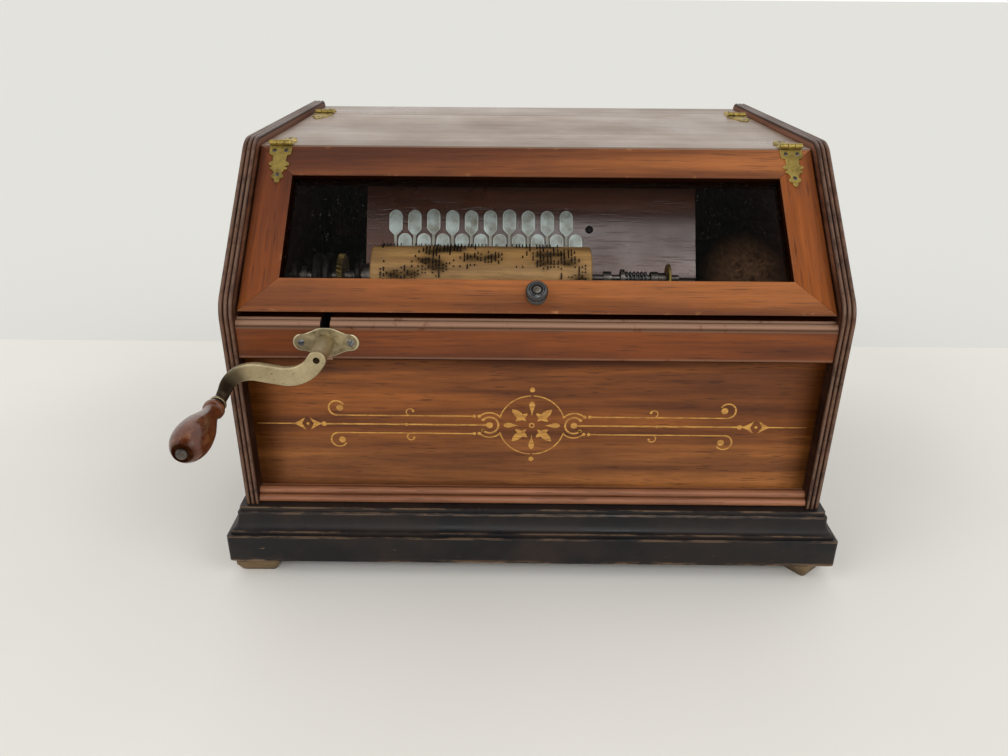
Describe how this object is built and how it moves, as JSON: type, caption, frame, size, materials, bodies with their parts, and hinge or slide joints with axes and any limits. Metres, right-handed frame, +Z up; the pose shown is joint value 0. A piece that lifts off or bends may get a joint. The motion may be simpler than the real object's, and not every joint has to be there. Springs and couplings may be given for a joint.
{
  "type": "roller organ",
  "caption": "Hand-cranked table-top reed organ in a wooden case: a worm turns a pinned roller that rocks valve keys behind a sloping glazed door.",
  "frame": {"origin": "on the floor, under the middle of the whole object with its crank handle", "axes": "+X to the right of the player, +Y to the back, +Z up"},
  "size_m": [0.46, 0.4508, 0.308],
  "materials": {
    "mahogany": "worn semi-gloss varnish, beaded edges",
    "walnut": "oiled, horizontal grain",
    "lid_wood": "worn satin varnish",
    "ebonised_wood": "black stain, rubbed through at the edges",
    "plain_wood": "bare softwood",
    "varnished_board": "red-brown varnish",
    "roller_wood": "bare pale wood",
    "handle_wood": "dark varnish",
    "brass": "tarnished",
    "dull_plate": "worn nickel plating",
    "steel": "oiled",
    "black_iron": "black",
    "pin_steel": "dark",
    "zinc": "bluish, stained",
    "glass": "clear, old",
    "bellows_leather": "pale, pleated"
  },
  "bodies": {
    "case": {"side_left": "mahogany", "side_right": "mahogany", "plinth_mouldings": "ebonised_wood", "base_board": "plain_wood", "feet": "ebonised_wood", "front_panel": "walnut", "front_rail": "mahogany", "lower_moulding": "mahogany", "back_panel": "walnut", "top_strip": "lid_wood", "deck_board": "plain_wood", "escutcheon": "dull_plate", "bearing_brackets": "brass", "pallet_board": "varnished_board", "reed_block": "plain_wood", "reeds": "brass", "key_pivots": "brass", "rear_hinge_leaves": "brass", "feeder_cloth": "bellows_leather", "reservoir_cloth": "bellows_leather"},
    "lid": {"lid_board": "lid_wood", "lid_hinge_leaves": "brass"},
    "door": {"door_frame": "mahogany", "door_glass": "glass", "door_hinge_leaves": "brass", "door_knob": "ebonised_wood"},
    "crank": {"crankshaft": "steel", "worm": "steel", "crank_arm": "dull_plate"},
    "handle": {"crank_handle": "handle_wood"},
    "drive": {"drive_arbor": "steel", "worm_wheel": "brass", "shift_cam": "black_iron", "roller": "roller_wood", "roller_pins": "pin_steel"},
    "tail": {"tail_rod": "steel", "tail_spring": "steel"},
    "rod": {"connecting_rod": "plain_wood"},
    "feeder": {"feeder_board": "plain_wood"},
    "reservoir": {"reservoir_board": "plain_wood"},
    "key_01": {"key_01": "zinc"},
    "key_02": {"key_02": "zinc"},
    "key_03": {"key_03": "zinc"},
    "key_04": {"key_04": "zinc"},
    "key_05": {"key_05": "zinc"},
    "key_06": {"key_06": "zinc"},
    "key_07": {"key_07": "zinc"},
    "key_08": {"key_08": "zinc"},
    "key_09": {"key_09": "zinc"},
    "key_10": {"key_10": "zinc"},
    "key_11": {"key_11": "zinc"},
    "key_12": {"key_12": "zinc"},
    "key_13": {"key_13": "zinc"},
    "key_14": {"key_14": "zinc"},
    "key_15": {"key_15": "zinc"},
    "key_16": {"key_16": "zinc"},
    "key_17": {"key_17": "zinc"},
    "key_18": {"key_18": "zinc"},
    "key_19": {"key_19": "zinc"},
    "key_20": {"key_20": "zinc"}
  },
  "joints": [
    {"name": "case_lid_hinge", "type": "hinge", "parent": "case", "child": "lid", "pos_m": [0, 0.16178, 0.3042], "axis": [-1, 0, 0], "range_deg": [0, 95]},
    {"name": "door_hinge", "type": "hinge", "parent": "lid", "child": "door", "pos_m": [0, -0.01764, 0.3042], "axis": [-1, 0, 0], "range_deg": [0, 210]},
    {"name": "crank_turn", "type": "hinge", "parent": "case", "child": "crank", "pos_m": [-0.1445, -0.12262, 0.187], "axis": [0, 1, 0], "continuous": true},
    {"name": "handle_spin", "type": "hinge", "parent": "crank", "child": "handle", "pos_m": [-0.21094, -0.16407, 0.15804], "axis": [0, 1, 0], "continuous": true},
    {"name": "drive_turn", "type": "hinge", "parent": "case", "child": "drive", "pos_m": [-0.121, -0.04763, 0.211], "axis": [1, 0, 0], "continuous": true},
    {"name": "rod_pivot", "type": "hinge", "parent": "crank", "child": "rod", "pos_m": [-0.1445, 0.03737, 0.177], "axis": [0, 1, 0], "continuous": true},
    {"name": "feeder_hinge", "type": "hinge", "parent": "case", "child": "feeder", "pos_m": [0.165, -0.12262, 0.15], "axis": [0, 1, 0], "range_deg": [0, 3.6], "deforming": ["feeder_cloth"]},
    {"name": "reservoir_hinge", "type": "hinge", "parent": "case", "child": "reservoir", "pos_m": [0, 0.20237, 0.178], "axis": [1, 0, 0], "range_deg": [0, 12], "stiffness_Nm_per_rad": 2, "springref_deg": -17.19, "deforming": ["reservoir_cloth"]},
    {"name": "arbor_tail_slide", "type": "slide", "parent": "case", "child": "tail", "axis": [1, 0, 0], "range_m": [0, 0.01], "stiffness_N_per_m": 300, "springref_m": -0.01, "deforming": ["tail_spring"]},
    {"name": "key_01_pivot", "type": "hinge", "parent": "case", "child": "key_01", "pos_m": [0, -0.0119, 0.20263], "axis": [1, 0, 0], "range_deg": [0, 6], "stiffness_Nm_per_rad": 0.05, "springref_deg": -11.46},
    {"name": "key_02_pivot", "type": "hinge", "parent": "case", "child": "key_02", "pos_m": [0, -0.0119, 0.20263], "axis": [1, 0, 0], "range_deg": [0, 6], "stiffness_Nm_per_rad": 0.05, "springref_deg": -11.46},
    {"name": "key_03_pivot", "type": "hinge", "parent": "case", "child": "key_03", "pos_m": [0, -0.0119, 0.20263], "axis": [1, 0, 0], "range_deg": [0, 6], "stiffness_Nm_per_rad": 0.05, "springref_deg": -11.46},
    {"name": "key_04_pivot", "type": "hinge", "parent": "case", "child": "key_04", "pos_m": [0, -0.0119, 0.20263], "axis": [1, 0, 0], "range_deg": [0, 6], "stiffness_Nm_per_rad": 0.05, "springref_deg": -11.46},
    {"name": "key_05_pivot", "type": "hinge", "parent": "case", "child": "key_05", "pos_m": [0, -0.0119, 0.20263], "axis": [1, 0, 0], "range_deg": [0, 6], "stiffness_Nm_per_rad": 0.05, "springref_deg": -11.46},
    {"name": "key_06_pivot", "type": "hinge", "parent": "case", "child": "key_06", "pos_m": [0, -0.0119, 0.20263], "axis": [1, 0, 0], "range_deg": [0, 6], "stiffness_Nm_per_rad": 0.05, "springref_deg": -11.46},
    {"name": "key_07_pivot", "type": "hinge", "parent": "case", "child": "key_07", "pos_m": [0, -0.0119, 0.20263], "axis": [1, 0, 0], "range_deg": [0, 6], "stiffness_Nm_per_rad": 0.05, "springref_deg": -11.46},
    {"name": "key_08_pivot", "type": "hinge", "parent": "case", "child": "key_08", "pos_m": [0, -0.0119, 0.20263], "axis": [1, 0, 0], "range_deg": [0, 6], "stiffness_Nm_per_rad": 0.05, "springref_deg": -11.46},
    {"name": "key_09_pivot", "type": "hinge", "parent": "case", "child": "key_09", "pos_m": [0, -0.0119, 0.20263], "axis": [1, 0, 0], "range_deg": [0, 6], "stiffness_Nm_per_rad": 0.05, "springref_deg": -11.46},
    {"name": "key_10_pivot", "type": "hinge", "parent": "case", "child": "key_10", "pos_m": [0, -0.0119, 0.20263], "axis": [1, 0, 0], "range_deg": [0, 6], "stiffness_Nm_per_rad": 0.05, "springref_deg": -11.46},
    {"name": "key_11_pivot", "type": "hinge", "parent": "case", "child": "key_11", "pos_m": [0, -0.0119, 0.20263], "axis": [1, 0, 0], "range_deg": [0, 6], "stiffness_Nm_per_rad": 0.05, "springref_deg": -11.46},
    {"name": "key_12_pivot", "type": "hinge", "parent": "case", "child": "key_12", "pos_m": [0, -0.0119, 0.20263], "axis": [1, 0, 0], "range_deg": [0, 6], "stiffness_Nm_per_rad": 0.05, "springref_deg": -11.46},
    {"name": "key_13_pivot", "type": "hinge", "parent": "case", "child": "key_13", "pos_m": [0, -0.0119, 0.20263], "axis": [1, 0, 0], "range_deg": [0, 6], "stiffness_Nm_per_rad": 0.05, "springref_deg": -11.46},
    {"name": "key_14_pivot", "type": "hinge", "parent": "case", "child": "key_14", "pos_m": [0, -0.0119, 0.20263], "axis": [1, 0, 0], "range_deg": [0, 6], "stiffness_Nm_per_rad": 0.05, "springref_deg": -11.46},
    {"name": "key_15_pivot", "type": "hinge", "parent": "case", "child": "key_15", "pos_m": [0, -0.0119, 0.20263], "axis": [1, 0, 0], "range_deg": [0, 6], "stiffness_Nm_per_rad": 0.05, "springref_deg": -11.46},
    {"name": "key_16_pivot", "type": "hinge", "parent": "case", "child": "key_16", "pos_m": [0, -0.0119, 0.20263], "axis": [1, 0, 0], "range_deg": [0, 6], "stiffness_Nm_per_rad": 0.05, "springref_deg": -11.46},
    {"name": "key_17_pivot", "type": "hinge", "parent": "case", "child": "key_17", "pos_m": [0, -0.0119, 0.20263], "axis": [1, 0, 0], "range_deg": [0, 6], "stiffness_Nm_per_rad": 0.05, "springref_deg": -11.46},
    {"name": "key_18_pivot", "type": "hinge", "parent": "case", "child": "key_18", "pos_m": [0, -0.0119, 0.20263], "axis": [1, 0, 0], "range_deg": [0, 6], "stiffness_Nm_per_rad": 0.05, "springref_deg": -11.46},
    {"name": "key_19_pivot", "type": "hinge", "parent": "case", "child": "key_19", "pos_m": [0, -0.0119, 0.20263], "axis": [1, 0, 0], "range_deg": [0, 6], "stiffness_Nm_per_rad": 0.05, "springref_deg": -11.46},
    {"name": "key_20_pivot", "type": "hinge", "parent": "case", "child": "key_20", "pos_m": [0, -0.0119, 0.20263], "axis": [1, 0, 0], "range_deg": [0, 6], "stiffness_Nm_per_rad": 0.05, "springref_deg": -11.46}
  ],
  "couplings": [
    {"joint": "drive_turn", "follows": "crank_turn", "ratio": -0.033333},
    {"joint": "rod_pivot", "follows": "crank_turn", "ratio": -1}
  ]
}
